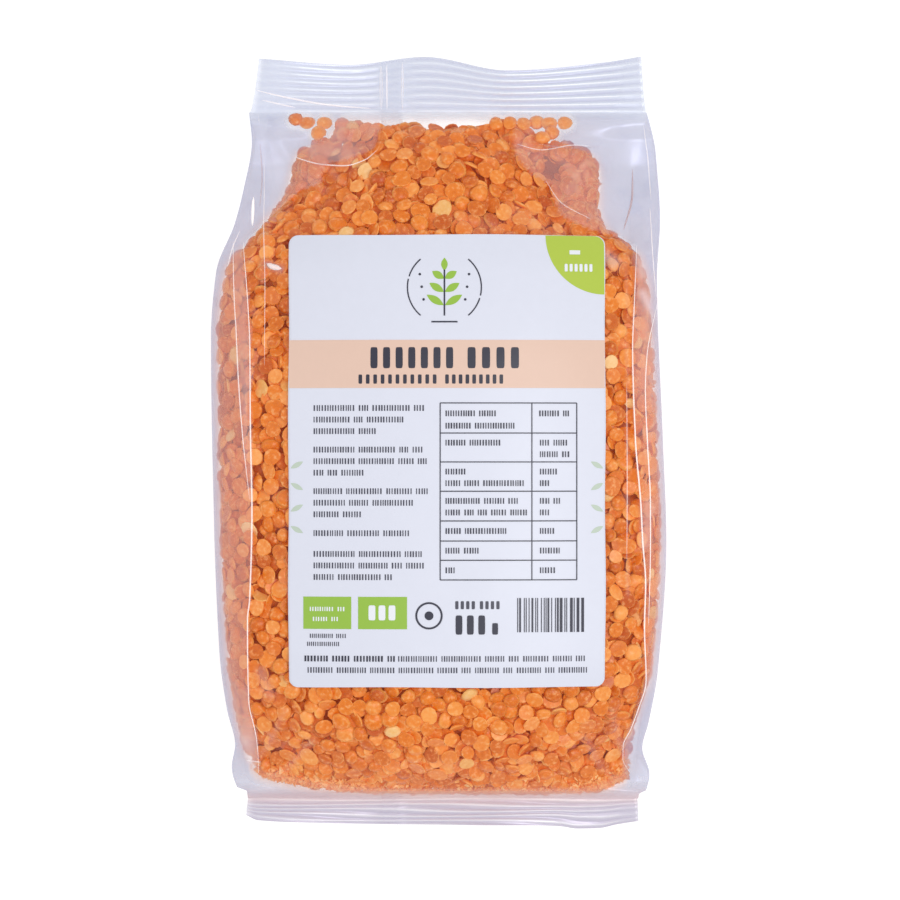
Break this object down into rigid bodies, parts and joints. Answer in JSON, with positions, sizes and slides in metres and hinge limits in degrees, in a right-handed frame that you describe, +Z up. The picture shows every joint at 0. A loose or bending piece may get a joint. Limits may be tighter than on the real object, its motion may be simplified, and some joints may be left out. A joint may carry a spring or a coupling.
{
  "type": "bag of lentils",
  "caption": "Clear gusseted film bag of split lentils lying on its back, with crimped seals at top and bottom and a paper label on the front.",
  "frame": {"origin": "on the surface the bag lies on, under the middle of its bounding box", "axes": "+Y towards the top seal, +Z up out of the labelled front, +X to the right of the label"},
  "size_m": [0.12, 0.2048, 0.0422],
  "materials": {
    "lentils": "dry split lentils, satin, seen through film",
    "film": "clear glossy packing film, slightly hazy",
    "label_paper": "coated label paper, low gloss",
    "print_ink": "offset ink on coated paper"
  },
  "bodies": {
    "root": {"bag": "lentils", "label": "label_paper"}
  },
  "joints": []
}
